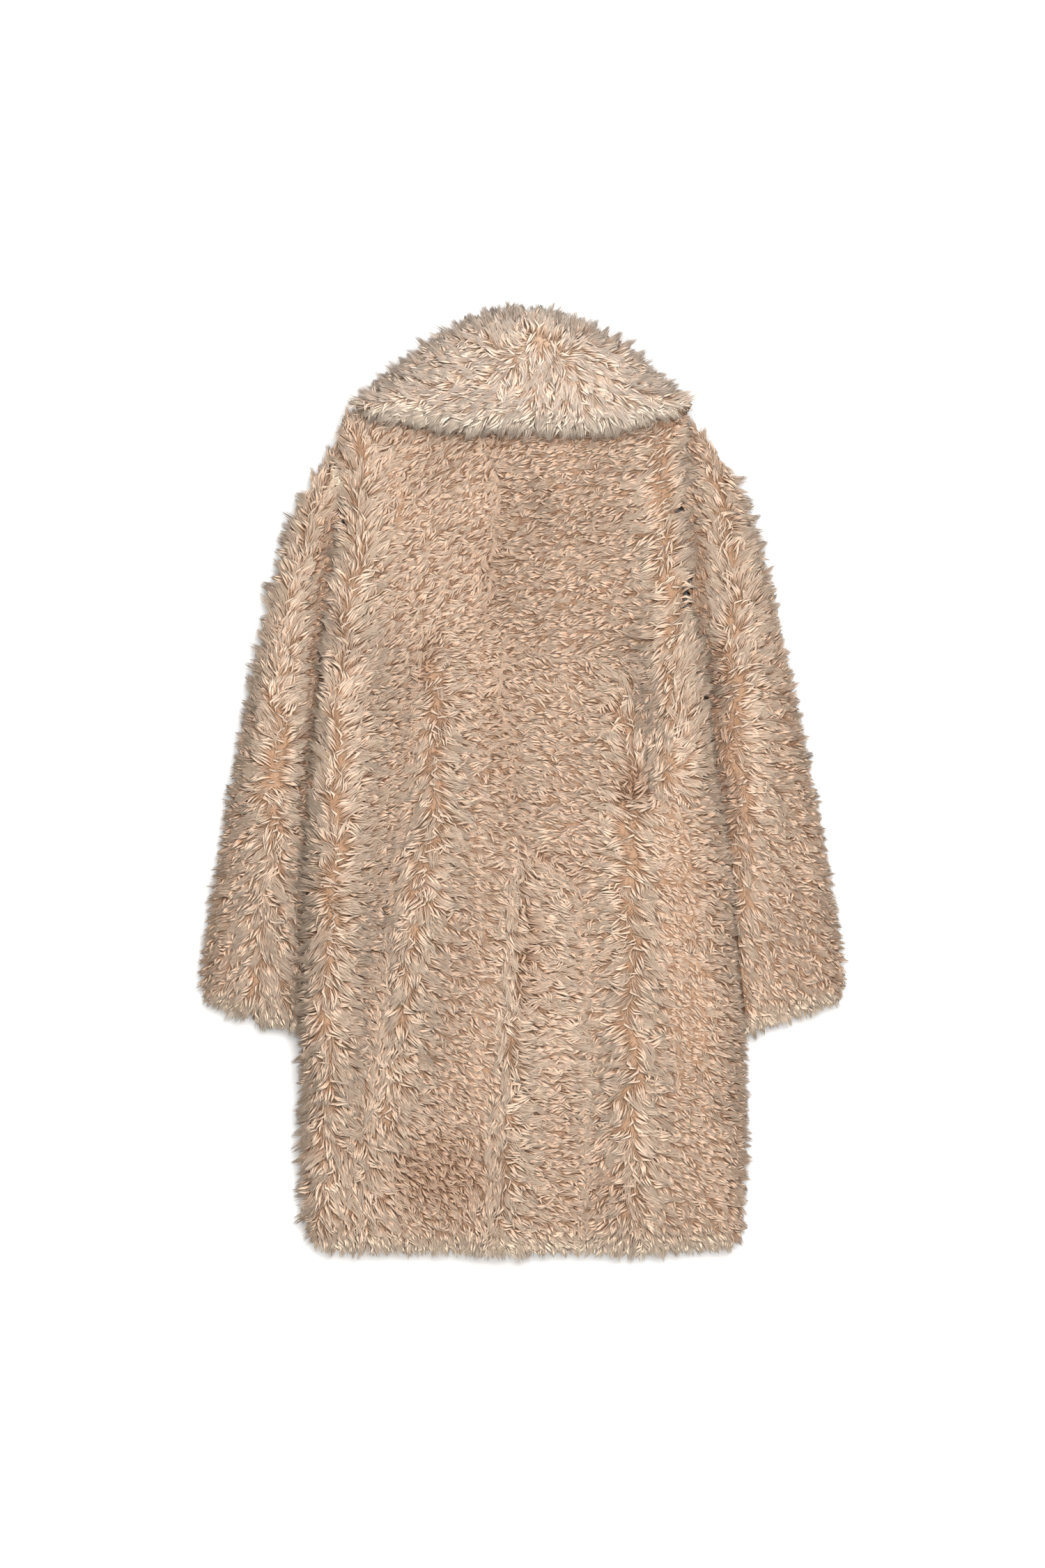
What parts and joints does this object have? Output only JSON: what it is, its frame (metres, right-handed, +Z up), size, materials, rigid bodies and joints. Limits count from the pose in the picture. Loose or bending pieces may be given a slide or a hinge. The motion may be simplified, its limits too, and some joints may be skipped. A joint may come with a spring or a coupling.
{
  "type": "faux fur coat",
  "caption": "Mid-length faux fur coat with a big rounded collar, laid out flat on its front with its sleeves along its sides.",
  "frame": {"origin": "on the surface the coat lies on, under the middle of its outline", "axes": "+Y from the hem up to the collar, +Z up from the surface, +X to the wearer's right, which is also the right of the picture, because the coat lies on its front"},
  "size_m": [0.6899, 0.999, 0.088],
  "materials": {
    "tan_fur": "matt tan fur",
    "cream_fur": "matt cream fur"
  },
  "bodies": {
    "root": {"back_left": "tan_fur", "back_right": "tan_fur", "front_left": "tan_fur", "front_right": "tan_fur", "sleeve_left": "tan_fur", "sleeve_right": "tan_fur", "collar": "cream_fur", "collar_front_left": "cream_fur", "collar_front_right": "cream_fur"}
  },
  "joints": []
}
